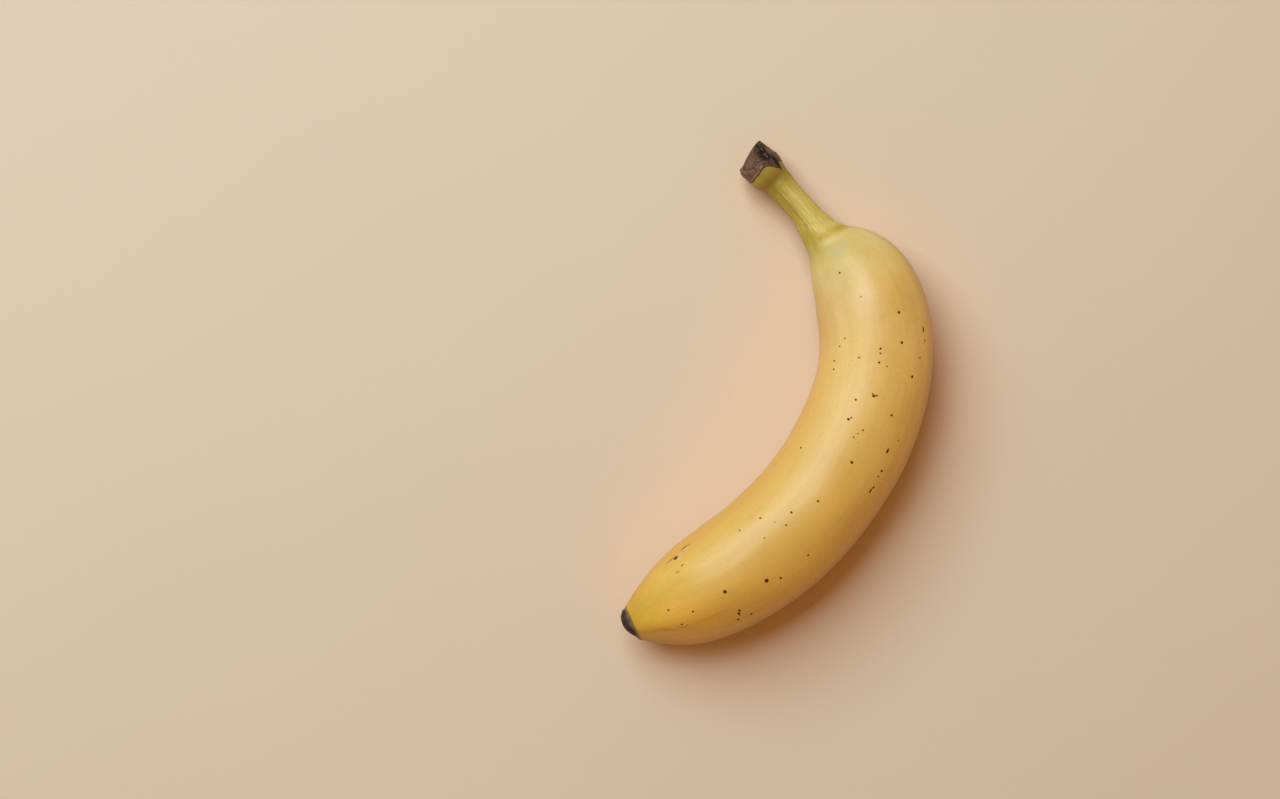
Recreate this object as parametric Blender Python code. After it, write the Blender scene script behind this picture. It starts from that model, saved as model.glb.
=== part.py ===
"""A ripe banana lying on its side, modelled as the one solid that it grew as.

Metres, +Z up. The origin is on the resting surface, under the middle of the fruit's box. The stem
points to -X, the blossom end to +X, and the hollow of the curve faces -Y. The fruit is a loft of
five-ridged rings along a curved centre line. Two planes break off the crown, where the stem was
torn from its bunch, and a third one gives the underside the narrow flat that the fruit rests on.
"""

import math

import bmesh
import bpy
from mathutils import Vector

MM = 0.001

# Driving dimensions. Each list of knots goes along the centre line, from the crown to the tip.
FRUIT_LENGTH = 198.5 * MM
RING_SPACING = 3.3 * MM
RING_POINTS = 24
RIDGES = 5
RIDGE_ON_TOP = math.radians(90)
HEIGHT_SHARE = 0.97  # height of a ring, as a share of its width

# (distance in mm, heading in degrees from +X)
HEADING_KNOTS = (
    (-3, 51), (3, 54.5), (9, 63.5), (12, 62.5), (16, 57.5), (23, 57.5), (28, 51), (32, 51), (36, 57.5),
    (42, 57), (50, 50), (60, 34), (72, 19), (90, 0), (110, -13), (140, -31), (160, -42), (180, -48),
    (198.5, -49),
)
# (distance in mm, half of the width in mm)
HALF_WIDTH_KNOTS = (
    (-3, 7.2), (5, 7.0), (9, 6.2), (12, 5.2), (15, 4.7), (19, 4.4), (25, 4.4), (30, 5.2), (37, 7.4),
    (43, 11.7), (50, 14.8),
    (60, 16.9), (80, 17.6), (115, 18.0), (155, 17.7), (171, 16.4), (182, 13.6), (190, 9.6), (196, 5.6),
    (198.5, 4.6),
)
# (distance in mm, height of the centre line in mm): the ends hang lower than the middle of the body
CENTRE_HEIGHT_KNOTS = (
    (-3, 8.2), (25, 8.4), (44, 12.2), (57, 15.4), (75, 16.4), (150, 16.5), (171, 15.2), (185, 13.6),
    (198.5, 12.6),
)
# (distance in mm, ridge sharpness): 3 is nearly round and 8 is a clear pentagon with soft corners
SHARPNESS_KNOTS = ((-3, 3), (20, 6), (40, 7), (60, 5), (100, 4.2), (160, 4.5), (185, 7), (198.5, 6))

# The broken crown: a blunt wedge whose edge stands upright, nearer the outer side of the curve.
CROWN_EDGE_OFFSET = 2.6 * MM  # outward from the centre line's second ring
CROWN_REACH = 20 * MM  # nothing farther than this from the wedge's edge is cut
CROWN_OUTER_SLOPE = (10, 4)  # along the stem and outward, from the edge
CROWN_INNER_SLOPE = (5, -10)

PEEL_SLOT = 0
PEEL_COLOUR = (0.72, 0.46, 0.13, 1.0)
PEEL_ROUGHNESS = 0.48
SCAR_SLOT = 1
SCAR_COLOUR = (0.045, 0.022, 0.014, 1.0)
SCAR_ROUGHNESS = 0.7
SHARP_EDGE_ANGLE = math.radians(35)
CUT_TOLERANCE = 0.001 * MM  # points closer than this to a cut count as on it


def clear_scene():
    """Removes whatever the file opened with."""
    for thing in list(bpy.data.objects):
        bpy.data.objects.remove(thing, do_unlink=True)


def plain_material(name, colour, roughness):
    """A non-metallic Principled material."""
    material = bpy.data.materials.new(name)
    material.use_nodes = True
    shader = material.node_tree.nodes["Principled BSDF"]
    shader.inputs["Base Color"].default_value = colour
    shader.inputs["Roughness"].default_value = roughness
    shader.inputs["Metallic"].default_value = 0.0
    return material


def peel_material():
    return plain_material("banana_peel", PEEL_COLOUR, PEEL_ROUGHNESS)


def scar_material():
    return plain_material("dried_scar", SCAR_COLOUR, SCAR_ROUGHNESS)


def knot_slope(knots, index):
    """Rise per millimetre at a knot, taken across its two neighbours."""
    before = knots[max(index - 1, 0)]
    after = knots[min(index + 1, len(knots) - 1)]
    return (after[1] - before[1]) / (after[0] - before[0])


def value_at(knots, distance):
    """Value at a distance in metres, on a smooth curve through knots given in millimetres."""
    place = min(max(distance / MM, knots[0][0]), knots[-1][0])
    index = max(i for i in range(len(knots) - 1) if knots[i][0] <= place)
    (start, low), (end, high) = knots[index], knots[index + 1]
    span = end - start
    t = (place - start) / span
    leaving = knot_slope(knots, index) * span
    arriving = knot_slope(knots, index + 1) * span
    return (
        low * (1 + 2 * t) * (1 - t) ** 2
        + leaving * t * (1 - t) ** 2
        + high * t * t * (3 - 2 * t)
        - arriving * t * t * (1 - t)
    )


def forward_at(distance):
    """Level direction of the centre line, towards the tip."""
    heading = math.radians(value_at(HEADING_KNOTS, distance))
    return Vector((math.cos(heading), math.sin(heading), 0))


def outward_at(distance):
    """Level direction across the fruit, towards the outer side of the curve."""
    forward = forward_at(distance)
    return Vector((-forward.y, forward.x, 0))


def centre_line(distances):
    """Points of the centre line at these distances, walked one step after another."""
    points = []
    ground = Vector((0, 0, 0))
    previous = distances[0]
    for distance in distances:
        ground += forward_at((previous + distance) / 2) * (distance - previous)
        height = value_at(CENTRE_HEIGHT_KNOTS, distance) * MM
        points.append(Vector((ground.x, ground.y, height)))
        previous = distance
    return points


def ridged_outline(sharpness):
    """Points round a pentagon with soft corners, as (outward, upward), with a half width of 1."""
    outline = []
    for step in range(RING_POINTS):
        angle = RIDGE_ON_TOP + 2 * math.pi * step / RING_POINTS
        reach = 0.0
        for side in range(RIDGES):
            facing = RIDGE_ON_TOP + 2 * math.pi * (side + 0.5) / RIDGES
            reach += max(math.cos(angle - facing), 0) ** sharpness
        radius = reach ** (-1 / sharpness)
        outline.append((radius * math.cos(angle), radius * math.sin(angle)))
    widest = max(across for across, _ in outline)
    return [(across / widest, up / widest) for across, up in outline]


def add_ring(mesh, centre, distance):
    """One closed ring of edges round the centre line."""
    half_width = value_at(HALF_WIDTH_KNOTS, distance) * MM
    outward = outward_at(distance)
    corners = []
    for across, up in ridged_outline(value_at(SHARPNESS_KNOTS, distance)):
        rise = Vector((0, 0, up * half_width * HEIGHT_SHARE))
        corners.append(mesh.verts.new(centre + outward * across * half_width + rise))
    return [mesh.edges.new((corners[i - 1], corners[i])) for i in range(RING_POINTS)]


def loft_fruit(mesh, distances, centres):
    """The closed skin of the fruit, before anything is cut from it."""
    rings = [add_ring(mesh, centre, distance) for centre, distance in zip(centres, distances)]
    for first, second in zip(rings, rings[1:]):
        bmesh.ops.bridge_loops(mesh, edges=first + second)
    for end in (rings[0], rings[-1]):
        bmesh.ops.contextual_create(mesh, geom=end)
    bmesh.ops.recalc_face_normals(mesh, faces=mesh.faces)


def within(mesh, point, reach):
    """The corners, edges and faces that lie wholly within reach of a point."""
    corners = {corner for corner in mesh.verts if (corner.co - point).length < reach}
    edges = [edge for edge in mesh.edges if corners.issuperset(edge.verts)]
    faces = [face for face in mesh.faces if corners.issuperset(face.verts)]
    return list(corners) + edges + faces


def cut_away(mesh, point, facing, reach, slot):
    """Cuts off what lies beyond a plane, near a point on it, and closes the cut with one flat face."""
    cut = bmesh.ops.bisect_plane(
        mesh,
        geom=within(mesh, point, reach),
        plane_co=point,
        plane_no=facing,
        clear_outer=True,
        dist=CUT_TOLERANCE,
    )
    rim = [edge for edge in cut["geom_cut"] if isinstance(edge, bmesh.types.BMEdge)]
    for face in bmesh.ops.contextual_create(mesh, geom=rim)["faces"]:
        face.material_index = slot


def break_crown(mesh, centre, distance):
    """Breaks off the stem's end along two planes that meet in an upright edge."""
    forward = forward_at(distance)
    outward = outward_at(distance)
    edge = centre + outward * CROWN_EDGE_OFFSET
    for (along, across), turn in ((CROWN_OUTER_SLOPE, 1), (CROWN_INNER_SLOPE, -1)):
        facing = (outward * along - forward * across) * turn
        cut_away(mesh, edge, facing.normalized(), CROWN_REACH, SCAR_SLOT)


def flatten_underside(mesh):
    """Cuts off what would sink into the resting surface."""
    cut_away(mesh, Vector((0, 0, 0)), Vector((0, 0, -1)), 2 * FRUIT_LENGTH, PEEL_SLOT)


def centre_box(mesh):
    """Moves the fruit so that its box is centred on the origin, without lifting it."""
    for axis in (0, 1):
        places = [corner.co[axis] for corner in mesh.verts]
        middle = (min(places) + max(places)) / 2
        for corner in mesh.verts:
            corner.co[axis] -= middle


def ring_distances():
    """Even distances along the centre line, from a little beyond the crown to the tip."""
    start = HEADING_KNOTS[0][0] * MM
    steps = round((FRUIT_LENGTH - start) / RING_SPACING)
    return [start + (FRUIT_LENGTH - start) * step / steps for step in range(steps + 1)]


def make_banana():
    """The whole fruit as one object."""
    distances = ring_distances()
    centres = centre_line(distances)
    mesh = bmesh.new()
    loft_fruit(mesh, distances, centres)
    break_crown(mesh, centres[1], distances[1])
    flatten_underside(mesh)
    bmesh.ops.dissolve_degenerate(mesh, dist=CUT_TOLERANCE, edges=mesh.edges)
    bmesh.ops.triangulate(mesh, faces=mesh.faces)
    bmesh.ops.recalc_face_normals(mesh, faces=mesh.faces)
    centre_box(mesh)

    skin = bpy.data.meshes.new("banana")
    mesh.to_mesh(skin)
    mesh.free()
    skin.materials.append(peel_material())  # PEEL_SLOT
    skin.materials.append(scar_material())  # SCAR_SLOT
    skin.shade_smooth()
    skin.set_sharp_from_angle(angle=SHARP_EDGE_ANGLE)
    banana = bpy.data.objects.new("banana", skin)
    bpy.context.scene.collection.objects.link(banana)
    return banana


def main():
    clear_scene()
    make_banana()


main()
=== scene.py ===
"""A ripe banana on a pale table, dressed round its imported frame.

The fruit is one piece. A straight blank is turned with mesh operators and subdivided, each part of
the fruit is then sculpted on it while it is still straight, and the finished skin is bent along the
same centre line as the frame's solid. Lengths in the classes are millimetres and angles are degrees,
unless a comment says otherwise. Round the fruit, an angle starts at the top, grows towards the outer
side of the curve and ends at the underside.
"""

import logging
import math
from dataclasses import dataclass, field
from enum import Enum
from functools import reduce

import bpy
import numpy as np
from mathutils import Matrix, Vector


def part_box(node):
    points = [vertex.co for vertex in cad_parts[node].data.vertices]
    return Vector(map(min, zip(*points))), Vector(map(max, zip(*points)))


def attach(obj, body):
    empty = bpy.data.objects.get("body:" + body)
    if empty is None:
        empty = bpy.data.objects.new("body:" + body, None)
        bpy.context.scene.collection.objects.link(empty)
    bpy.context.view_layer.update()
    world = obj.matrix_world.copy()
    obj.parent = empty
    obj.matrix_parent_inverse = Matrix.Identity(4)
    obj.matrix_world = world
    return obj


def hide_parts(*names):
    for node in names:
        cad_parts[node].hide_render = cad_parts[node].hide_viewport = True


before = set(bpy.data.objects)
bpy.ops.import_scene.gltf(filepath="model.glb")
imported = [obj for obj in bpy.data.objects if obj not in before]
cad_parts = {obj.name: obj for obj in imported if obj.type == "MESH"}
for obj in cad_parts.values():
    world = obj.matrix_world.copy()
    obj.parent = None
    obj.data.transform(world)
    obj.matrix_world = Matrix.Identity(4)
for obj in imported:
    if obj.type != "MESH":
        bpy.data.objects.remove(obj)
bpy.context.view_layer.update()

log = logging.getLogger("banana")

MM = 0.001
NODE = "banana"
FRUIT_LENGTH = 198.5

Colour = tuple[float, float, float]
Span = tuple[float, float]
Pairs = tuple[Span, ...]
Tones = tuple[tuple[float, Colour], ...]
Socket = bpy.types.NodeSocket


class Blend(Enum):
    """How one colour goes over another."""

    OVER = "MIX"
    DARKEN = "MULTIPLY"


class Ramp(Enum):
    """How a value goes from one end of its range to the other."""

    STRAIGHT = "LINEAR"
    EASED = "SMOOTHSTEP"


# ---- Small tools ----


@dataclass(frozen=True)
class Knots:
    """A value that changes smoothly along the fruit, through (distance, value) knots."""

    points: Pairs

    def at(self, distance: np.ndarray) -> np.ndarray:
        """Reads the value at some distances.

        Args:
            distance: distances along the fruit; those past the ends read the end values.

        Returns:
            One value for each distance.
        """
        places, values = np.array(self.points, float).T
        slopes = np.empty(len(places))
        slopes[1:-1] = (values[2:] - values[:-2]) / (places[2:] - places[:-2])
        slopes[0] = (values[1] - values[0]) / (places[1] - places[0])
        slopes[-1] = (values[-1] - values[-2]) / (places[-1] - places[-2])
        here = np.clip(distance, places[0], places[-1])
        left = np.clip(np.searchsorted(places, here, side="right") - 1, 0, len(places) - 2)
        span = places[left + 1] - places[left]
        t = (here - places[left]) / span
        return (
            values[left] * (1 + 2 * t) * (1 - t) ** 2
            + slopes[left] * span * t * (1 - t) ** 2
            + values[left + 1] * t * t * (3 - 2 * t)
            - slopes[left + 1] * span * t * t * (1 - t)
        )


def bump(distance: np.ndarray, centre: float, width: float) -> np.ndarray:
    """A smooth hump of height 1 round a centre, about twice its width across."""
    return np.exp(-(((distance - centre) / width) ** 2))


def eased(value: np.ndarray, low: float, high: float) -> np.ndarray:
    """Goes smoothly from 0 at low to 1 at high."""
    t = np.clip((value - low) / (high - low), 0, 1)
    return t * t * (3 - 2 * t)


def turned(angle: np.ndarray, towards: float) -> np.ndarray:
    """Angles from a direction, in degrees from -180 to 180."""
    return (angle - towards + 180) % 360 - 180


# ---- Form ----


@dataclass
class Skin:
    """The straight fruit's surface while it is sculpted, with one entry for each vertex.

    run goes along the turned profile. It is under 0 on the crown's scar and over the fruit's length
    on the face of the blossom end, and elsewhere it is the distance along the fruit. hollow says how
    deep a vertex lies in a fold or a pit, from 0 to 1, and so how much painted shade the finish puts
    there.
    """

    run: np.ndarray
    angle: np.ndarray
    along: np.ndarray
    radius: np.ndarray
    hollow: np.ndarray

    @property
    def across(self) -> np.ndarray:
        """Distance from the centre line towards the outer side of the curve."""
        return self.radius * np.sin(np.radians(self.angle))

    @property
    def up(self) -> np.ndarray:
        """Distance above the centre line."""
        return self.radius * np.cos(np.radians(self.angle))


@dataclass(frozen=True)
class CentreLine:
    """The curved line that the fruit is bent along, and where it lies."""

    length: float = FRUIT_LENGTH
    lead: float = -4.0  # the line starts this far before the crown's edge
    heading: Knots = Knots((
        (-3, 51), (3, 54.5), (9, 63.5), (12, 62.5), (16, 57.5), (23, 57.5), (28, 51), (32, 51), (36, 57.5),
        (42, 57), (50, 50), (60, 34), (72, 19), (90, 0), (110, -13), (140, -31), (160, -42), (180, -48),
        (198.5, -49),
    ))
    height: Knots = Knots((
        (-3, 8.2), (25, 8.4), (44, 12.2), (57, 15.4), (75, 16.4), (150, 16.5), (171, 15.2), (185, 13.6),
        (198.5, 12.6),
    ))
    step: float = 0.1

    def bend(self, skin: Skin, height_share: float) -> np.ndarray:
        """Bends the straight fruit and lays it where the frame's solid lies.

        Args:
            skin: the sculpted, straight surface.
            height_share: height of a section as a share of its width.

        Returns:
            One point in metres for each vertex.
        """
        walk = np.arange(self.lead, self.length + 2 * self.step, self.step)
        heading = np.radians(self.heading.at(walk))
        east = np.cumsum(np.cos(heading)) * self.step
        north = np.cumsum(np.sin(heading)) * self.step
        turn = np.interp(skin.along, walk, heading)
        points = np.column_stack((
            np.interp(skin.along, walk, east) - np.sin(turn) * skin.across,
            np.interp(skin.along, walk, north) + np.cos(turn) * skin.across,
            self.height.at(skin.along) + skin.up * height_share,
        )) * MM
        points[:, :2] += np.array(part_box(NODE)[1][:2]) - points[:, :2].max(axis=0)
        points[:, 2] = np.maximum(points[:, 2], 0)
        return points


@dataclass(frozen=True)
class Section:
    """The fruit across: a pentagon with soft corners, one of them on top."""

    ridges: int = 5
    height_share: float = 0.97
    half_width: Knots = Knots((
        (-3, 7.2), (5, 7.0), (9, 6.2), (12, 5.2), (15, 4.7), (19, 4.4), (25, 4.4), (30, 5.2), (37, 7.4),
        (43, 11.7), (50, 14.8), (60, 16.9), (80, 17.6), (115, 18.0), (155, 17.7), (171, 16.4), (182, 13.6),
        (190, 9.6), (196, 5.6), (198.5, 4.6),
    ))
    # 3 is nearly round and 8 is a clear pentagon
    sharpness: Knots = Knots((
        (-3, 3), (20, 4.6), (40, 4.4), (58, 3.4), (80, 3.1), (155, 3.1), (172, 3.7), (186, 5.5), (198.5, 5),
    ))
    turn: Knots = Knots(((0, 8), (35, 6), (60, 0), (150, 12), (175, 20), (198.5, 20)))  # of the ridges

    def reach(self, angle: np.ndarray, sharpness: np.ndarray) -> np.ndarray:
        """Distance from the middle to the soft pentagon whose sides are 1 from the middle."""
        total = np.zeros(np.broadcast(angle, sharpness).shape)
        for side in range(self.ridges):
            facing = (side + 0.5) * 360 / self.ridges
            total += np.maximum(np.cos(np.radians(angle - facing)), 0) ** sharpness
        return total ** (-1 / sharpness)

    def widest(self, sharpness: np.ndarray) -> np.ndarray:
        """Half of the width of that pentagon."""
        fan = np.arange(45.0, 135.0, 1.0)[:, None]
        known = np.arange(2.0, 10.0, 0.25)
        halves = (self.reach(fan, known[None, :]) * np.sin(np.radians(fan))).max(axis=0)
        return np.interp(sharpness, known, halves)

    def shape(self, skin: Skin) -> None:
        """Gives the skin its width and its ridges."""
        sharpness = self.sharpness.at(skin.along)
        outline = self.reach(skin.angle - self.turn.at(skin.along), sharpness) / self.widest(sharpness)
        skin.radius = self.half_width.at(skin.along) * outline


@dataclass(frozen=True)
class Blank:
    """The straight blank: a spindle with rings close together where the form changes fast."""

    sides: int = 20
    radius: float = 17.7
    levels: int = 3
    scar_run: float = 10.0  # how much of the run the scar takes
    scar_rings: int = 6
    face_run: float = 6.0
    face_rings: int = 4
    pole: float = 0.12  # the first ring's share of the full radius
    # (where a stretch starts, distance between its rings), up to the next start
    spacing: Pairs = ((0, 1.5), (12, 2.5), (45, 5), (185, 1.7))

    def stations(self, length: float) -> list[tuple[float, float]]:
        """Where the rings stand.

        Args:
            length: the fruit's length.

        Returns:
            (run, share of the full radius) for each ring, from pole to pole.
        """
        steps = self.scar_rings
        found = [(-self.scar_run * (1 - i / steps), max(i / steps, self.pole)) for i in range(steps)]
        ends = [start for start, _ in self.spacing[1:]] + [length]
        for (start, gap), end in zip(self.spacing, ends):
            count = round((end - start) / gap)
            found += [(start + (end - start) * i / count, 1.0) for i in range(count)]
        steps = self.face_rings
        for i in range(steps + 1):
            found.append((length + self.face_run * i / steps, max(1 - i / steps, self.pole)))
        return found

    def turn(self, name: str, length: float) -> bpy.types.Object:
        """Turns the blank with extrude and resize, and subdivides it.

        Args:
            name: the new object's name.
            length: the fruit's length.

        Returns:
            The blank, along +X, with its run as X.
        """
        stations = self.stations(length)
        run, share = stations[0]
        bpy.ops.object.select_all(action="DESELECT")
        bpy.ops.mesh.primitive_circle_add(
            vertices=self.sides,
            radius=self.radius * share * MM,
            fill_type="NGON",
            rotation=(0, math.pi / 2, 0),
        )
        blank = bpy.context.active_object
        blank.name = name
        bpy.ops.object.transform_apply(location=True, rotation=True, scale=True)
        bpy.ops.object.mode_set(mode="EDIT")
        bpy.ops.mesh.select_all(action="SELECT")
        bpy.ops.transform.translate(value=(run * MM, 0, 0))
        for next_run, next_share in stations[1:]:
            step = (next_run - run) * MM
            bpy.ops.mesh.extrude_region_move(TRANSFORM_OT_translate={"value": (step, 0, 0)})
            grow = next_share / share
            bpy.ops.transform.resize(value=(1, grow, grow), center_override=(next_run * MM, 0, 0))
            run, share = next_run, next_share
        bpy.ops.mesh.select_all(action="SELECT")
        bpy.ops.mesh.normals_make_consistent(inside=False)
        bpy.ops.object.mode_set(mode="OBJECT")
        smooth = blank.modifiers.new("smooth", "SUBSURF")
        smooth.levels = smooth.render_levels = self.levels
        bpy.ops.object.modifier_apply(modifier=smooth.name)
        bpy.ops.object.shade_smooth()
        return blank

    def read(self, blank: bpy.types.Object, length: float) -> Skin:
        """Reads the blank's vertices as a skin that can be sculpted."""
        flat = np.empty(len(blank.data.vertices) * 3, np.float32)
        blank.data.vertices.foreach_get("co", flat)
        run, across, up = flat.reshape(-1, 3).astype(float).T / MM
        angle = np.degrees(np.arctan2(across, up))
        return Skin(run, angle, np.clip(run, 0, length), np.hypot(across, up), np.zeros(len(run)))


@dataclass(frozen=True)
class Crown:
    """The stem's torn end: a slanting, folded scar with a deep cleft, above a swollen collar."""

    reach: float = 16.0  # the scar's slope draws the stem's rings after it up to here
    half_width: float = 6.9
    edge_across: float = 5.2
    edge_along: float = -1.1
    outer_slope: float = 4.6
    inner_slope: float = 0.47
    edge_round: float = 1.0
    lean: float = 0.72  # how far the scar falls back as it rises
    edge_lean: float = 0.9  # how much farther it falls back behind its edge
    # (height, distance across) of the cleft's bottom line
    cleft: Knots = Knots(((-7, 4.9), (-1, 4.3), (0.7, 3.8), (1.6, 3.6), (3, 3.8), (4.8, 4.7), (7, 6.4)))
    cleft_depth: float = 1.5
    cleft_width: float = 0.8
    fold_height: float = 0.2
    fold_gap: float = 1.35
    lip_height: float = 0.55
    ridge_height: float = 0.45
    collar_at: float = 9.6
    collar_height: float = 0.3
    crease_at: float = 12.6
    crease_depth: float = 0.42
    inner_loss: float = 0.9
    crinkle_height: float = 0.10

    def wedge(self, across: np.ndarray, up: np.ndarray) -> np.ndarray:
        """The scar's two slopes, with a rounded edge between them, falling back as they rise."""
        off = across - self.edge_across
        roof = np.where(off > 0, off * self.outer_slope, -off * self.inner_slope)
        rounded = np.sqrt(roof**2 + self.edge_round**2) - self.edge_round
        rise = np.log1p(np.exp((up + 1.0) * 2.0)) / 2.0
        behind = bump(across, self.edge_across - 0.9, 2.6)
        return rounded + rise * (self.lean + self.edge_lean * behind)

    def fold_waves(self, across: np.ndarray, up: np.ndarray) -> np.ndarray:
        """Uneven waves that wander across the scar, from about -1.4 to 1.4."""
        wander = 0.6 * np.sin(across * 0.9 + 0.4) + 0.3 * np.sin(across * 2.3 + 1.7)
        phase = 2 * math.pi * (up + wander) / self.fold_gap
        return np.sin(phase) + 0.45 * np.sin(2.3 * phase + 1.1)

    def cleft_groove(self, beside: np.ndarray, up: np.ndarray) -> np.ndarray:
        """How deep the cleft is beside its bottom line, as a share of its depth."""
        groove = bump(beside, 0.0, self.cleft_width) * eased(up, -2.5, 0.0)
        return groove * (1 + 0.35 * np.sin(up * 4.1) + 0.2 * np.sin(up * 7.7 + 1))

    def surface(self, across: np.ndarray, up: np.ndarray) -> tuple[np.ndarray, np.ndarray]:
        """Where the scar lies.

        Args:
            across: distances towards the outer side.
            up: distances above the centre line.

        Returns:
            Distance along the fruit, and depth in the folds from 0 to 1, with a wider band of painted shade
            beside the cleft.
        """
        beside = across - self.cleft.at(up)
        inner = eased(-beside, -0.2, 1.0) * eased(up, -4.0, -1.0)
        inward = 1 - np.hypot(across, up) / self.half_width
        deep = eased(inward, 0.30, 0.42)
        folds = self.fold_waves(across, up) * (0.25 + 0.75 * inner) * deep
        lip = (0.6 * bump(inward, 0.40, 0.06) - bump(inward, 0.20, 0.13)) * inner
        ridge = bump(beside, 1.2, 0.5) * eased(up, -1.5, 1.0)
        groove = self.cleft_groove(beside, up)
        along = self.edge_along + self.wedge(across, up) + self.fold_height * folds
        along += self.lip_height * lip - self.ridge_height * ridge + self.cleft_depth * groove
        # how hollow each point is, which sets painted shade; the last term adds a wider band of painted shade
        # beside the cleft
        hollow = 0.25 * inner * deep * (1 + folds / 1.4) + groove
        hollow += 0.3 * bump(inward, 0.40, 0.07) * inner + 0.5 * bump(beside, -1.3, 1.3) * deep
        return along, np.clip(hollow, 0, 1)

    def tear(self, skin: Skin) -> None:
        """Slants the stem's first rings to meet the scar. It goes before the section is shaped."""
        angle = np.radians(skin.angle)
        rim, _ = self.surface(self.half_width * np.sin(angle), self.half_width * np.cos(angle))
        fade = np.clip(1 - skin.along / self.reach, 0, 1)
        skin.along = skin.along + rim * fade

    def swell(self, skin: Skin) -> None:
        """Raises the collar behind the scar and sinks the crease below it."""
        upper = eased(np.cos(np.radians(turned(skin.angle, 0))), 0.0, 0.8)
        skin.radius += self.collar_height * bump(skin.along, self.collar_at, 2.2) * upper * (skin.run > 0)
        skin.radius -= self.crease_depth * bump(skin.along, self.crease_at, 1.3) * upper
        inner = eased(-np.sin(np.radians(skin.angle)), 0.2, 1.0)
        skin.radius -= self.inner_loss * inner * (1 - eased(skin.along, 5.0, 10.0))
        crinkle = np.sin(np.radians(skin.angle) * 23) + 0.6 * np.sin(np.radians(skin.angle) * 37 + 2)
        skin.radius += self.crinkle_height * crinkle * bump(skin.run, 0, 0.55)

    def scar(self, skin: Skin, run: float) -> None:
        """Draws the scar's rings in and lays them on the torn surface.

        Args:
            skin: the skin, with its section shaped.
            run: how much of the run the scar takes.
        """
        inside = skin.run < 0
        skin.radius[inside] *= np.clip(1 + skin.run[inside] / run, 0, 1)
        along, hollow = self.surface(skin.across[inside], skin.up[inside])
        settled = eased(skin.run[inside], -0.2, -0.9)
        skin.along[inside] = skin.along[inside] * (1 - settled) + along * settled
        skin.hollow[inside] = hollow


@dataclass(frozen=True)
class Neck:
    """Where the stem runs out into the fruit: a shallow slanting crease and lengthwise fibres."""

    crease_at: float = 35.2
    crease_slant: float = 2.0
    crease_depth: float = 0.2
    crease_width: float = 1.7
    fibre_height: float = 0.02
    fibre_counts: tuple[int, ...] = (17, 26, 39, 58)

    def crease(self, skin: Skin) -> None:
        """Sinks the crease."""
        line = self.crease_at + self.crease_slant * np.sin(np.radians(skin.angle))
        depth = self.crease_depth * (0.75 + 0.25 * np.cos(np.radians(2 * skin.angle + 20)))
        skin.radius -= depth * bump(skin.along, line, self.crease_width)

    def fibres(self, skin: Skin, draw: np.random.Generator) -> None:
        """Raises fine fibres along the stem."""
        reach = eased(skin.along, 9, 15) * (1 - eased(skin.along, 30, 44))
        for count in self.fibre_counts:
            start, drift = draw.uniform(0, 2 * math.pi, 2)
            wave = np.sin(np.radians(skin.angle) * count + start + 1.1 * np.sin(skin.along * 0.12 + drift))
            skin.radius += self.fibre_height * wave * reach * (skin.run > 0)


@dataclass(frozen=True)
class BlossomEnd:
    """The dried blossom end: a short dark cap, thinner at its sides, with a pitted face."""

    length: float = FRUIT_LENGTH
    cap: float = 2.5
    half_width: float = 4.6
    outer_loss: float = 0.30  # the share of its thickness that the cap loses towards its outer side
    side_loss: float = 0.62
    groove: float = 0.16  # round the cap's start
    swelling: float = 0.14
    rounding: float = 0.55  # of the cap's edge
    lobes: float = 0.07
    pit: float = 1.1
    nub: float = 0.7

    @property
    def start(self) -> float:
        """Where the cap starts."""
        return self.length - self.cap

    def thickness(self, across: np.ndarray) -> np.ndarray:
        """The cap's thickness at some distances across."""
        side = np.clip(across / self.half_width, -1, 1)
        return self.cap * (1 - self.outer_loss * side - self.side_loss * side**2)

    def shape(self, skin: Skin) -> None:
        """Shapes the cap's side."""
        start = self.start
        share = np.clip((skin.along - start) / self.cap, 0, 1)
        capped = skin.along > start
        side = self.half_width * np.sin(np.radians(skin.angle))
        skin.along = np.where(capped, start + share * self.thickness(side), skin.along)
        skin.radius -= self.groove * bump(skin.run, start, 0.4)
        skin.radius += self.swelling * bump(skin.run, start + 1.1, 0.7)
        skin.radius -= self.rounding * eased(skin.run, self.length - 0.9, self.length + 0.2)
        lobes = np.cos(np.radians(5 * skin.angle)) + 0.5 * np.sin(np.radians(11 * skin.angle + 40))
        skin.radius += self.lobes * lobes * eased(skin.run, start, start + 1)

    def face(self, skin: Skin, run: float) -> None:
        """Draws the face's rings in, sinks the pit and leaves a nub in the middle.

        Args:
            skin: the skin, with its section shaped.
            run: how much of the run the face takes.
        """
        inside = skin.run > self.length
        share = np.clip(1 - (skin.run[inside] - self.length) / run, 0, 1)
        skin.radius[inside] *= share
        lobes = 0.12 * np.cos(np.radians(5 * skin.angle[inside] + 25)) * share * (1 - share) * 4
        sunk = self.pit * eased(1 - share, 0.12, 0.55) - self.nub * eased(1 - share, 0.7, 1.0)
        top = self.start + self.thickness(skin.across[inside])
        skin.along[inside] = top - sunk + lobes
        # how deep in the pit, which sets the painted shade there
        skin.hollow[inside] = eased(1 - share, 0.15, 0.6) * (1 - 0.6 * eased(1 - share, 0.75, 1.0))


@dataclass(frozen=True)
class Lumps:
    """The slow unevenness of a grown thing."""

    height: float = 0.05
    waves: int = 7

    def raise_on(self, skin: Skin, draw: np.random.Generator) -> None:
        """Adds slow waves, weaker towards both ends."""
        reach = eased(skin.along, 34, 60) * (1 - eased(skin.along, 178, 196))
        for _ in range(self.waves):
            length = draw.uniform(22, 70)
            count = draw.integers(1, 5)
            start, drift = draw.uniform(0, 2 * math.pi, 2)
            wave = np.sin(2 * math.pi * skin.along / length + start)
            wave *= np.sin(np.radians(skin.angle) * count + drift)
            skin.radius += self.height * wave * reach


# ---- Finish ----


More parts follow.
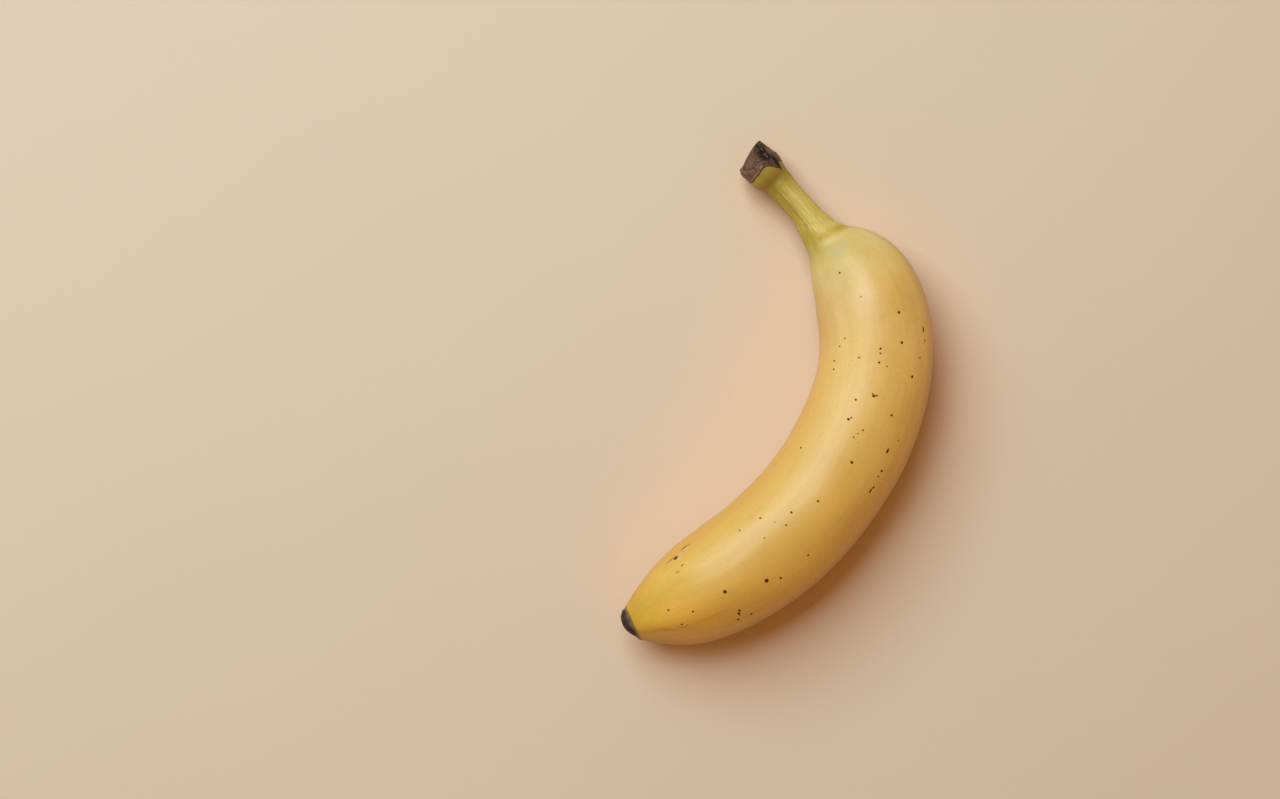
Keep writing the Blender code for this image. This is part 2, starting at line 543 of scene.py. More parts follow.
class Bench:
    """Adds nodes to one node tree and wires them."""

    def __init__(self, tree: bpy.types.NodeTree) -> None:
        """Takes the tree to work on."""
        self.tree = tree

    def add(self, kind: str, **settings: object) -> bpy.types.Node:
        """Adds a node and sets its properties."""
        node = self.tree.nodes.new(kind)
        for name, value in settings.items():
            setattr(node, name, value)
        return node

    def feed(self, socket: Socket, value: object) -> None:
        """Wires an output to a socket, or sets the socket to a plain value."""
        if isinstance(value, Socket):
            self.tree.links.new(value, socket)
        elif isinstance(value, tuple) and len(value) == 3 and len(socket.default_value) == 4:
            socket.default_value = (*value, 1.0)
        else:
            socket.default_value = value

    def wire(self, kind: str, values: tuple, **settings: object) -> Socket:
        """Adds a node, feeds its inputs in order and returns its first output."""
        node = self.add(kind, **settings)
        for socket, value in zip(node.inputs, values):
            self.feed(socket, value)
        return node.outputs[0]

    def compute(self, operation: str, *values: object) -> Socket:
        """A Math node.

        Args:
            operation: Blender's name of the operation.
            values: one to three sockets or numbers.

        Returns:
            The result's socket.
        """
        return self.wire("ShaderNodeMath", values, operation=operation)

    def times(self, *values: object) -> Socket:
        """The product of some numbers."""
        return reduce(lambda product, value: self.compute("MULTIPLY", product, value), values)

    def plus(self, *values: object) -> Socket:
        """The total of some numbers."""
        return reduce(lambda total, value: self.compute("ADD", total, value), values)

    def minus(self, first: object, *values: object) -> Socket:
        """A number less some others."""
        return reduce(lambda rest, value: self.compute("SUBTRACT", rest, value), values, first)

    def most(self, *values: object) -> Socket:
        """The largest of some numbers."""
        return reduce(lambda largest, value: self.compute("MAXIMUM", largest, value), values)

    def ramp(
        self, value: object, low: float, high: float, start: float = 0.0, end: float = 1.0,
        kind: Ramp = Ramp.EASED,
    ) -> Socket:
        """Takes a value from the range low to high into the range start to end.

        Args:
            value: the socket to read.
            low: where the value starts.
            high: where it ends.
            start: the result at low.
            end: the result at high.
            kind: how it goes between them.

        Returns:
            The result's socket.
        """
        numbers = (value, low, high, start, end)
        return self.wire("ShaderNodeMapRange", numbers, interpolation_type=kind.value, clamp=True)

    def band(self, value: object, centre: float, half: float) -> Socket:
        """1 at a centre, falling smoothly to 0 at half a band away on either side."""
        off = self.compute("ABSOLUTE", self.minus(value, centre))
        return self.ramp(off, 0.0, half, 1.0, 0.0)

    def mix(
        self, share: object, first: object, second: object, blend: Blend = Blend.OVER
    ) -> Socket:
        """Puts the second colour over the first.

        Args:
            share: how much of the second colour shows.
            first: the colour below.
            second: the colour above.
            blend: how they combine.

        Returns:
            The mixed colour's socket.
        """
        node = self.add("ShaderNodeMix", data_type="RGBA", blend_type=blend.value)
        for index, value in ((0, share), (6, first), (7, second)):
            self.feed(node.inputs[index], value)
        return node.outputs[2]

    def number_mix(self, share: object, first: object, second: object) -> Socket:
        """Goes from the first number to the second as share goes from 0 to 1."""
        node = self.add("ShaderNodeMix", data_type="FLOAT")
        for index, value in ((0, share), (2, first), (3, second)):
            self.feed(node.inputs[index], value)
        return node.outputs[0]

    def vector(self, operation: str, *values: object) -> Socket:
        """A Vector Math node's vector."""
        return self.wire("ShaderNodeVectorMath", values, operation=operation)

    def point(self, x: object, y: object, z: object) -> Socket:
        """A vector from three numbers."""
        return self.wire("ShaderNodeCombineXYZ", (x, y, z))

    def shaded(self, colour: object, shade: object) -> Socket:
        """A colour made darker or lighter by a number near 1."""
        return self.mix(1.0, colour, self.point(shade, shade, shade), Blend.DARKEN)

    def attribute(self, name: str, output: str) -> Socket:
        """One of the mesh's attributes."""
        return self.add("ShaderNodeAttribute", attribute_name=name).outputs[output]

    def noise(
        self, place: object, scale: float, detail: float = 2.0, rough: float = 0.5, output: str = "Fac"
    ) -> Socket:
        """Cloudy noise from 0 to 1.

        Args:
            place: where it is read.
            scale: how many clouds there are in a metre.
            detail: how many finer layers it has.
            rough: how strong they are.
            output: the node's output that is read.

        Returns:
            The noise's socket.
        """
        node = self.add("ShaderNodeTexNoise")
        self.feed(node.inputs["Vector"], place)
        node.inputs["Scale"].default_value = scale
        node.inputs["Detail"].default_value = detail
        node.inputs["Roughness"].default_value = rough
        return node.outputs[output]

    def group(self, tree: bpy.types.NodeTree, **values: object) -> Socket:
        """Places a node group and returns its only output."""
        node = self.add("ShaderNodeGroup", node_tree=tree)
        for name, value in values.items():
            self.feed(node.inputs[name.replace("_", " ").capitalize()], value)
        return node.outputs[0]


def new_group(name: str, inputs: dict[str, str], output: str) -> tuple[bpy.types.NodeTree, Bench, dict]:
    """Starts a node group.

    Args:
        name: the group's name.
        inputs: each input's name and socket type.
        output: the name of its one output, a number.

    Returns:
        The group, a bench on it, and its inner sockets by name, with the output's under "out".
    """
    tree = bpy.data.node_groups.new(name, "ShaderNodeTree")
    for label, kind in inputs.items():
        tree.interface.new_socket(label, in_out="INPUT", socket_type=kind)
    tree.interface.new_socket(output, in_out="OUTPUT", socket_type="NodeSocketFloat")
    bench = Bench(tree)
    entry = bench.add("NodeGroupInput")
    leave = bench.add("NodeGroupOutput")
    sockets = {label: entry.outputs[label] for label in inputs}
    sockets["out"] = leave.inputs[0]
    return tree, bench, sockets


def new_material(name: str) -> tuple[bpy.types.Material, Bench, bpy.types.Node]:
    """Starts a material. Returns it, a bench on its nodes and its shader."""
    material = bpy.data.materials.new(name)
    material.use_nodes = True
    return material, Bench(material.node_tree), material.node_tree.nodes["Principled BSDF"]


def fleck_group() -> bpy.types.NodeTree:
    """One soft-edged oval mark on the unrolled skin."""
    tree, bench, sockets = new_group(
        "fleck",
        {"Sheet": "NodeSocketVector", "Centre": "NodeSocketVector", "Spread": "NodeSocketVector"},
        "Mask",
    )
    off = bench.vector("SUBTRACT", sockets["Sheet"], sockets["Centre"])
    scaled = bench.vector("MULTIPLY", off, sockets["Spread"])
    length = bench.add("ShaderNodeVectorMath", operation="LENGTH")
    bench.feed(length.inputs[0], scaled)
    bench.feed(sockets["out"], bench.ramp(length.outputs["Value"], 0.50, 1.30, 1.0, 0.0))
    return tree


def grain_group() -> bpy.types.NodeTree:
    """Streaks drawn out along the fruit."""
    tree, bench, sockets = new_group(
        "lengthwise_grain",
        {"Place": "NodeSocketVector", "Stretch": "NodeSocketVector", "Detail": "NodeSocketFloat"},
        "Value",
    )
    stretched = bench.vector("MULTIPLY", sockets["Place"], sockets["Stretch"])
    value = bench.noise(stretched, 1.0)
    bench.feed(value.node.inputs["Detail"], sockets["Detail"])
    bench.feed(sockets["out"], value)
    return tree


@dataclass(frozen=True)
class Fleck:
    """One brown mark: where it is, half its length along the fruit and half its width round it."""

    along: float
    angle: float
    half_length: float
    half_width: float
    strength: float = 1.0


# (along, angle, half length, half width) and, for a faint one, its strength
FLECKS = tuple(Fleck(*numbers) for numbers in (
    (153.7, 22, 0.62, 0.66), (165.7, 9, 0.56, 0.6), (164.8, 36, 0.42, 0.5), (165.4, 40, 0.36, 0.8),
    (166.4, 48, 0.4, 0.5), (162.4, 49.5, 0.36, 0.42), (150, 29, 0.38, 0.4), (140, 29.5, 0.36, 0.36),
    (103.5, 33.5, 0.75, 0.42), (111.2, 5, 0.46, 0.46), (115.3, 38, 0.7, 0.36), (114.2, 39, 0.4, 0.3),
    (109.2, 38, 0.4, 0.38), (110.9, 37.5, 0.3, 0.3, 0.8), (90.2, -0.5, 0.5, 0.46),
    (89.8, 2, 0.34, 0.38), (89.6, -2, 0.28, 0.28), (99.6, -16.5, 0.42, 0.44),
    (98.8, -14.5, 0.34, 0.32, 0.8), (92.9, -16.5, 0.34, 0.34), (93.9, 22.5, 0.32, 0.34),
    (101, 0.5, 0.26, 0.3, 0.8), (102.6, -2.5, 0.26, 0.26, 0.6), (104.1, -4.5, 0.3, 0.3, 0.8),
    (99.7, 40.5, 0.26, 0.28, 0.7), (65.6, 22, 0.44, 0.46), (70.6, 52, 0.85, 0.4),
    (73.3, 53.5, 0.34, 0.4, 0.7), (73.8, 21.5, 0.4, 0.4), (75.5, -1, 0.38, 0.42),
    (77, -0.8, 0.28, 0.3, 0.8), (79.8, -1.5, 0.36, 0.42), (80.7, 6.7, 0.26, 0.3, 0.6),
    (82.6, 36, 0.4, 0.4), (77.6, 45, 0.32, 0.34, 0.7), (80.6, -51, 0.4, 0.42, 0.8),
    (84, -49.5, 0.34, 0.36, 0.9), (78.7, -22, 0.5, 0.5, 0.35), (71.6, -38, 0.3, 0.34, 0.8),
    (74.6, -45, 0.28, 0.32, 0.7), (58.1, -11.5, 0.32, 0.34, 0.5), (47.4, -20.5, 0.38, 0.44, 0.9),
    (126.5, -1.5, 0.42, 0.38, 0.9), (134.6, -13.5, 0.36, 0.36), (138.6, -8.5, 0.34, 0.36),
    (143.2, -31.5, 0.5, 0.34, 0.7), (140.6, -18, 0.26, 0.26, 0.6), (146.4, -13.5, 0.3, 0.3, 0.5),
    (151.2, -36, 0.34, 0.36, 0.7), (115.4, -49.5, 0.36, 0.38, 0.8), (177, 13.5, 0.34, 0.38, 0.8),
    (181.8, 24.7, 0.36, 0.4, 0.8), (183.6, 0.5, 0.34, 0.42, 0.9),
))

SCRATCHES = (
    Fleck(169.8, -61.5, 1.9, 0.26),
    Fleck(175.8, -57.5, 2.6, 0.22, 0.85),
    Fleck(174.3, -54.5, 0.9, 0.62),
    Fleck(175.6, -36, 0.6, 0.45, 0.5),
    Fleck(173.4, -40, 0.7, 0.4, 0.4),
)

STAINS = (Fleck(171.0, -60, 5.5, 2.6), Fleck(177.5, -52, 4.0, 1.8))

SCUFFS = (Fleck(170.8, -59, 2.6, 1.6, 0.8), Fleck(174.4, -51.5, 1.6, 1.1), Fleck(177, -56, 3.4, 1.4, 0.35))


@dataclass
class Chart:
    """The sockets that say where a point of the skin lies, and the patterns that its regions share."""

    place: Socket  # on the straight fruit, in metres
    across: Socket
    run: Socket
    hollow: Socket
    angle: Socket  # round the fruit from the top, in radians
    around: Socket  # the same as a distance
    outward: Socket  # how far round towards the outer side, from -1 to 1
    sheet: Socket  # the unrolled skin, slightly shaken
    clouds: Socket
    streaks: Socket
    grit: Socket
    strands: Socket
    ragged: Socket


@dataclass(frozen=True)
class PeelFinish:
    """The whole skin: ripe peel, green-tinged stem, torn scar and dried blossom end."""

    name: str = "banana_skin"
    length: float = FRUIT_LENGTH
    girth: float = 17.6  # turns an angle round the fruit into a distance on the unrolled skin
    ridges: float = 5.0
    neck: Neck = Neck()
    tip: BlossomEnd = BlossomEnd()
    # (distance along the fruit, colour), from the crown to the blossom end
    tones: Tones = (
        (5, (0.34, 0.25, 0.036)),
        (11, (0.305, 0.225, 0.036)),
        (15, (0.48, 0.38, 0.075)),
        (20, (0.59, 0.495, 0.127)),
        (28, (0.56, 0.515, 0.135)),
        (33, (0.62, 0.545, 0.155)),
        (38, (0.60, 0.49, 0.140)),
        (46, (0.655, 0.505, 0.200)),
        (58, (0.78, 0.525, 0.200)),
        (75, (0.87, 0.57, 0.195)),
        (102, (0.81, 0.51, 0.150)),
        (140, (0.77, 0.475, 0.120)),
        (165, (0.77, 0.47, 0.105)),
        (182, (0.81, 0.49, 0.088)),
        (194, (0.66, 0.40, 0.045)),
    )
    # (angle round the fruit, colour that darkens the peel there): painted shade on the inner side and the
    # outer rim, and a paler, whiter painted highlight on the upper inner facet
    painted_body_shading: Tones = (
        (-100, (0.83, 0.78, 0.63)),
        (-62, (0.86, 0.81, 0.66)),
        (-42, (0.90, 0.95, 0.98)),
        (-20, (0.88, 0.90, 0.81)),
        (0, (0.92, 0.90, 0.79)),
        (15, (0.93, 0.89, 0.71)),
        (42, (1.0, 0.99, 0.79)),
        (58, (0.98, 0.99, 0.71)),
        (72, (0.82, 0.81, 0.61)),
        (90, (0.69, 0.67, 0.62)),
    )
    # (angle round the stem, colour that darkens it there): darker towards both sides, with a paler, whiter
    # painted highlight along the ridge just past the top
    stem_sides: Tones = (
        (-90, (0.76, 0.72, 0.45)),
        (-60, (0.70, 0.64, 0.40)),
        (-35, (0.57, 0.48, 0.26)),
        (-15, (0.83, 0.80, 0.55)),
        (0, (0.90, 0.88, 0.66)),
        (17, (1.0, 1.0, 0.95)),
        (40, (0.95, 0.90, 0.79)),
        (60, (0.94, 0.87, 0.63)),
        (90, (0.79, 0.70, 0.40)),
    )
    side_reach: float = 120.0  # the angle that both of these go up to
    # distances along the fruit where a region starts to show and where it shows in full
    sides_in: Span = (40.0, 56.0)
    stem_in: Span = (8.0, 14.0)
    stem_out: Span = (44.0, 32.0)
    fibres_in: Span = (12.0, 17.0)
    fibres_out: Span = (40.0, 30.0)
    freckles_in: Span = (40.0, 60.0)
    freckles_out: Span = (196.0, 190.0)
    ridges_in: Span = (158.0, 182.0)
    freckles: Pairs = ((7.5, 0.28), (3.1, 0.12))  # (gap between the scattered ones, largest half width)
    blotch: Colour = (0.62, 0.35, 0.055)
    crease: Colour = (0.47, 0.30, 0.03)
    # painted highlight on the crease's lower lip
    lip_highlight: Colour = (0.84, 0.70, 0.33)
    bloom: Colour = (0.47, 0.44, 0.27)
    ridge: Colour = (0.60, 0.275, 0.035)
    fibre: Colour = (0.30, 0.24, 0.03)
    pale_fibre: Colour = (0.74, 0.68, 0.30)
    fleck: Colour = (0.075, 0.022, 0.003)
    fleck_edge: Colour = (0.33, 0.125, 0.005)
    scuff: Colour = (0.66, 0.47, 0.38)
    scar: Colour = (0.120, 0.052, 0.028)
    scar_low: Colour = (0.038, 0.016, 0.009)
    scar_facet: Colour = (0.160, 0.082, 0.050)
    # painted shade in the scar's folds and cleft
    painted_scar_shade: Colour = (0.016, 0.007, 0.004)
    scar_edge: Colour = (0.045, 0.019, 0.005)
    scar_rim: Colour = (0.36, 0.25, 0.14)
    cap: Colour = (0.030, 0.014, 0.011)
    cap_high: Colour = (0.055, 0.030, 0.022)
    # painted shade in the pit of the blossom end
    painted_pit_shade: Colour = (0.010, 0.006, 0.005)
    cap_edge: Colour = (0.14, 0.11, 0.02)
    sheen: Colour = (1.0, 0.92, 0.84)
    dry_sheen: Colour = (1.0, 0.80, 0.68)
    peel_gloss: float = 0.5
    stem_gloss: float = 0.3
    mark_gloss: float = 0.08
    dry_gloss: float = 0.32
    peel_roughness: float = 0.38
    stem_roughness: float = 0.5
    scar_roughness: float = 0.42
    wet_roughness: float = 0.2

    def tones_over(self, bench: Bench, value: object, tones: Tones, low: float, high: float) -> Socket:
        """A slow change of colour.

        Args:
            bench: where the nodes go.
            value: the socket that the colour follows.
            tones: (value, colour) pairs in rising order.
            low: the lowest value.
            high: the highest value.

        Returns:
            The colour's socket.
        """
        node = bench.add("ShaderNodeValToRGB")
        bench.feed(node.inputs[0], bench.ramp(value, low, high, kind=Ramp.STRAIGHT))
        stops = node.color_ramp.elements
        while len(stops) < len(tones):
            stops.new(0.5)
        for stop, (place, colour) in zip(stops, tones):
            stop.position = (place - low) / (high - low)
            stop.color = (*colour, 1.0)
        return node.outputs[0]

    def marks(self, bench: Bench, sheet: object, flecks: tuple[Fleck, ...]) -> Socket:
        """A mask of listed marks.

        Args:
            bench: where the nodes go.
            sheet: the unrolled skin's coordinates.
            flecks: the marks.

        Returns:
            The mask's socket.
        """
        tree = bpy.data.node_groups.get("fleck") or fleck_group()
        total = None
        for mark in flecks:
            centre = (mark.along, math.radians(mark.angle) * self.girth, 0.0)
            spread = (1 / mark.half_length, 1 / mark.half_width, 0.0)
            mask = bench.group(tree, sheet=sheet, centre=centre, spread=spread)
            if mark.strength < 1:
                mask = bench.times(mask, mark.strength)
            total = mask if total is None else bench.most(total, mask)
        return total

    def speckles(self, bench: Bench, sheet: object, gap: float, most: float) -> Socket:
        """A mask of small scattered marks.

        Args:
            bench: where the nodes go.
            sheet: the unrolled skin's coordinates.
            gap: distance between the cells that may each hold one.
            most: the largest mark's half width.

        Returns:
            The mask's socket.
        """
        node = bench.add("ShaderNodeTexVoronoi", voronoi_dimensions="2D", feature="F1")
        bench.feed(node.inputs["Vector"], sheet)
        node.inputs["Scale"].default_value = 1 / gap
        parts = bench.add("ShaderNodeSeparateColor")
        bench.feed(parts.inputs[0], node.outputs["Color"])
        half = bench.ramp(parts.outputs[0], 0.35, 1.0, 0.0, most / gap, Ramp.STRAIGHT)
        inner = bench.minus(half, node.outputs["Distance"])
        return bench.ramp(inner, 0.0, 0.12 / gap)

    def chart(self, bench: Bench) -> Chart:
        """Reads where each point lies, and adds the patterns that several regions share."""
        grain = bpy.data.node_groups.get("lengthwise_grain") or grain_group()
        place = bench.attribute("straight", "Vector")
        run = bench.attribute("run", "Fac")
        split = bench.add("ShaderNodeSeparateXYZ")
        bench.feed(split.inputs[0], place)
        across, up = split.outputs[1], split.outputs[2]
        angle = bench.compute("ARCTAN2", across, up)
        around = bench.times(angle, self.girth)
        wobble = bench.noise(place, 1100.0, output="Color")
        shift = bench.vector("SUBTRACT", wobble, (0.5, 0.5, 0.5))
        shift = bench.vector("MULTIPLY", shift, (0.5, 0.5, 0.0))
        return Chart(
            place=place,
            across=across,
            run=run,
            hollow=bench.attribute("hollow", "Fac"),
            angle=angle,
            around=around,
            outward=bench.compute("SINE", angle),
            sheet=bench.vector("ADD", bench.point(run, around, 0.0), shift),
            clouds=bench.noise(place, 55.0, 3.0, 0.55),
            streaks=bench.group(grain, place=place, stretch=(30.0, 420.0, 420.0), detail=3.0),
            grit=bench.group(grain, place=place, stretch=(500.0, 500.0, 1600.0), detail=4.0),
            strands=bench.group(grain, place=place, stretch=(260.0, 1500.0, 420.0), detail=3.0),
            ragged=bench.minus(bench.noise(place, 900.0, 3.0), 0.5),
        )

    def between(self, bench: Bench, at: Chart, start: Span, end: Span) -> Socket:
        """1 along a stretch of the fruit, fading out at both of its ends."""
        return bench.times(bench.ramp(at.run, *start), bench.ramp(at.run, *end))

    def ripe_peel(self, bench: Bench, at: Chart, on_stem: Socket) -> Socket:
        """The colour along and round the fruit, with painted shade and highlight round the body, a painted
        highlight along the stem's top, slow blotches and faint streaks.
        """
        colour = self.tones_over(bench, at.run, self.tones, 0.0, self.length)
        degrees = bench.compute("DEGREES", at.angle)
        on_body = bench.ramp(at.run, *self.sides_in)
        # painted shade and highlight round the body, and the stem's side tones with a painted highlight along
        # its top
        for sides, share in ((self.painted_body_shading, on_body), (self.stem_sides, on_stem)):
            tint = self.tones_over(bench, degrees, sides, -self.side_reach, self.side_reach)
            colour = bench.mix(share, colour, tint, Blend.DARKEN)
        colour = bench.mix(bench.ramp(at.clouds, 0.46, 0.74, 0.0, 0.35), colour, self.blotch)
        speckled = bench.noise(at.place, 900.0, 3.0, 0.6)
        shade = bench.times(
            bench.ramp(at.streaks, 0.3, 0.7, 0.96, 1.03, Ramp.STRAIGHT),
            bench.ramp(speckled, 0.3, 0.7, 0.97, 1.03, Ramp.STRAIGHT),
        )
        return bench.shaded(colour, shade)

    def ridge_lines(self, bench: Bench, at: Chart, colour: Socket) -> Socket:
        """Darker, broken ridges towards the blossom end."""
        sway = bench.times(bench.noise(at.place, 40.0), 0.5)
        swayed = bench.plus(at.angle, bench.minus(sway, 0.25))
        lobes = bench.compute("COSINE", bench.compute("MULTIPLY_ADD", swayed, self.ridges, -2.0))
        crest = bench.times(
            bench.compute("POWER", bench.compute("MULTIPLY_ADD", lobes, 0.5, 0.5), 15.0),
            bench.ramp(at.streaks, 0.40, 0.62),
            bench.ramp(at.run, *self.ridges_in, 0.0, 0.9),
            bench.ramp(at.angle, -0.9, 0.3, 0.25, 1.0),
        )
        return bench.mix(crest, colour, self.ridge)

    def stem_fibres(self, bench: Bench, at: Chart, colour: Socket) -> tuple[Socket, Socket]:
        """Fine dark and pale fibres on the stem. Returns the colour and the dark fibres' mask."""
        grain = bpy.data.node_groups["lengthwise_grain"]
        fibres = bench.group(grain, place=at.place, stretch=(110.0, 2600.0, 2600.0), detail=2.0)
        stem = self.between(bench, at, self.fibres_in, self.fibres_out)
        lines = bench.times(bench.ramp(fibres, 0.52, 0.66, 0.0, 0.4), stem)
        colour = bench.mix(lines, colour, self.fibre)
        pale = bench.times(bench.ramp(fibres, 0.46, 0.34, 0.0, 0.28), stem)
        return bench.mix(pale, colour, self.pale_fibre), lines

    def neck_crease(self, bench: Bench, at: Chart, colour: Socket) -> Socket:
        """The golden crease where the stem ends, a painted highlight on its lower lip and the greyish bloom
        below it.
        """
        off = bench.minus(at.run, bench.times(at.outward, self.neck.crease_slant), self.neck.crease_at)
        # a painted highlight on the crease's lower lip, standing in for its lit edge
        lip = bench.times(bench.band(off, 2.3, 2.4), bench.band(at.angle, 0.05, 0.8), 0.35)
        colour = bench.mix(lip, colour, self.lip_highlight)
        patchy = bench.ramp(bench.noise(at.place, 170.0), 0.38, 0.62, 0.5, 1.0)
        colour = bench.mix(bench.times(bench.band(off, 0.0, 2.4), patchy), colour, self.crease)
        misty = bench.ramp(bench.noise(at.place, 330.0, 4.0, 0.7), 0.42, 0.62, 0.0, 0.8)
        patch = bench.times(bench.band(at.run, 40.5, 5.5), bench.band(at.around, 0.5, 9.0), misty)
        return bench.mix(patch, colour, self.bloom)

    def blemishes(self, bench: Bench, at: Chart, colour: Socket) -> tuple[Socket, Socket]:
        """The scuffed patch, the freckles and the flecks. Returns the colour and the flecks' mask."""
        stain = bench.times(self.marks(bench, at.sheet, STAINS), bench.ramp(at.streaks, 0.40, 0.62, 0.1, 0.5))
        colour = bench.mix(stain, colour, self.ridge)
        worn = bench.ramp(bench.noise(at.place, 420.0, 3.0), 0.48, 0.64)
        colour = bench.mix(bench.times(self.marks(bench, at.sheet, SCUFFS), worn, 0.7), colour, self.scuff)
        body = self.between(bench, at, self.freckles_in, self.freckles_out)
        fine = bench.most(*(self.speckles(bench, at.sheet, gap, most) for gap, most in self.freckles))
        colour = bench.mix(bench.times(fine, body, 0.4), colour, self.fleck_edge)
        freckled = bench.ramp(bench.noise(at.place, 1300.0, 3.0, 0.7), 0.52, 0.70, 0.0, 0.35)
        freckled = bench.times(freckled, body, bench.ramp(at.angle, -0.1, 0.9))
        colour = bench.mix(freckled, colour, self.blotch)
        broken = bench.ramp(bench.noise(at.place, 700.0), 0.34, 0.48)
        scratches = bench.times(self.marks(bench, at.sheet, SCRATCHES), broken)
        spots = bench.most(self.marks(bench, at.sheet, FLECKS), scratches)
        colour = bench.mix(bench.ramp(spots, 0.0, 0.4, 0.0, 0.9), colour, self.fleck_edge)
        return bench.mix(bench.ramp(spots, 0.35, 1.0), colour, self.fleck), spots

    def torn_crown(self, bench: Bench, at: Chart, colour: Socket) -> tuple[Socket, Socket]:
        """The scar, its rim and its cleft, with painted shade in its folds and cleft. Returns the colour and
        the scar's mask.
        """
        under = bench.ramp(bench.compute("COSINE", at.angle), 0.2, -0.6, 0.0, 1.2)
        inner_side = bench.ramp(at.outward, -0.55, -1.0, 0.0, 1.6)
        outer_side = bench.ramp(at.outward, 0.45, 0.75, 0.0, 3.4)
        edge = bench.minus(bench.plus(at.run, at.ragged), bench.most(inner_side, under, outer_side))
        flesh = bench.mix(bench.ramp(at.grit, 0.35, 0.65), self.scar_low, self.scar)
        facet = bench.ramp(at.across, 2.5 * MM, -1.5 * MM, 0.0, 0.85)
        facet = bench.times(facet, bench.ramp(at.strands, 0.36, 0.56, 0.25, 1.0))
        flesh = bench.mix(facet, flesh, self.scar_facet)
        # painted shade in the folds and the cleft
        flesh = bench.mix(bench.ramp(at.hollow, 0.30, 0.85), flesh, self.painted_scar_shade)
        rim = bench.times(bench.band(edge, -0.15, 0.3), bench.ramp(at.angle, 0.2, -0.3))
        flesh = bench.mix(rim, flesh, self.scar_rim)
        dark_line = bench.times(bench.band(edge, 0.55, 0.75), bench.ramp(at.run, 6.0, 3.0))
        colour = bench.mix(dark_line, colour, self.scar_edge)
        torn = bench.ramp(edge, 0.40, 0.10)
        return bench.mix(torn, colour, flesh), torn

    def blossom_cap(self, bench: Bench, at: Chart, colour: Socket) -> tuple[Socket, Socket]:
        """The dark cap, its greenish edge and painted shade in its pit. Returns the colour and the cap's
        mask.
        """
        start = self.tip.start
        run = bench.plus(at.run, bench.times(at.ragged, 0.5))
        colour = bench.mix(bench.band(run, start - 0.3, 0.9), colour, self.cap_edge)
        soot = bench.mix(bench.ramp(at.grit, 0.35, 0.65), self.cap, self.cap_high)
        # painted shade deeper in the pit
        soot = bench.mix(at.hollow, soot, self.painted_pit_shade)
        capped = bench.ramp(run, start - 0.2, start + 0.2)
        return bench.mix(capped, colour, soot), capped

    def roughness(self, bench: Bench, at: Chart, on_stem: Socket, dry: Socket, torn: Socket) -> Socket:
        """Waxy peel, duller stem and scar, and wet spots deep in the cleft."""
        wet = bench.times(
            torn,
            bench.ramp(at.hollow, 0.6, 0.95),
            bench.ramp(bench.noise(at.place, 1300.0), 0.46, 0.60),
        )
        waxy = bench.ramp(at.clouds, 0.3, 0.7, self.peel_roughness + 0.04, self.peel_roughness - 0.04)
        waxy = bench.number_mix(on_stem, waxy, self.stem_roughness)
        rough = bench.number_mix(dry, waxy, self.scar_roughness)
        return bench.number_mix(wet, rough, self.wet_roughness)

    def relief(self, bench: Bench, at: Chart, dry: Socket, lines: Socket, spots: Socket) -> Socket:
        """Fine relief: streaks, pores, a rugged scar, sunken fibres and flecks."""
        pores = bench.noise(at.place, 1500.0)
        rugged = bench.times(bench.plus(at.grit, at.strands), dry, 2.2)
        raised = bench.plus(bench.times(at.streaks, 0.25), bench.times(pores, 0.16), rugged)
        height = bench.minus(raised, bench.times(lines, 0.4), bench.times(spots, 0.25))
        bumps = bench.add("ShaderNodeBump")
        bumps.inputs["Strength"].default_value = 0.5
        bumps.inputs["Distance"].default_value = 0.15 * MM
        bench.feed(bumps.inputs["Height"], height)
        return bumps.outputs[0]

    def build(self) -> bpy.types.Material:
        """Builds the material."""
        material, bench, shader = new_material(self.name)
        at = self.chart(bench)
        on_stem = self.between(bench, at, self.stem_out, self.stem_in)
        colour = self.ripe_peel(bench, at, on_stem)
        colour = self.ridge_lines(bench, at, colour)
        colour, lines = self.stem_fibres(bench, at, colour)
        colour = self.neck_crease(bench, at, colour)
        colour, spots = self.blemishes(bench, at, colour)
        colour, torn = self.torn_crown(bench, at, colour)
        colour, capped = self.blossom_cap(bench, at, colour)
        dry = bench.most(torn, capped)
        gloss = bench.number_mix(on_stem, self.peel_gloss, self.stem_gloss)
        gloss = bench.number_mix(spots, gloss, self.mark_gloss)
        settings = {
            "Base Color": colour,
            "Metallic": 0.0,
            "Roughness": self.roughness(bench, at, on_stem, dry, torn),
            "Specular IOR Level": bench.number_mix(dry, gloss, self.dry_gloss),
            "Specular Tint": bench.mix(dry, self.sheen, self.dry_sheen),
            "Normal": self.relief(bench, at, dry, lines, spots),
            "Subsurface Weight": 0.10,
            "Subsurface Radius": (1.0, 0.5, 0.15),
            "Subsurface Scale": 3 * MM,
        }
        for name, value in settings.items():
            bench.feed(shader.inputs[name], value)
        return material


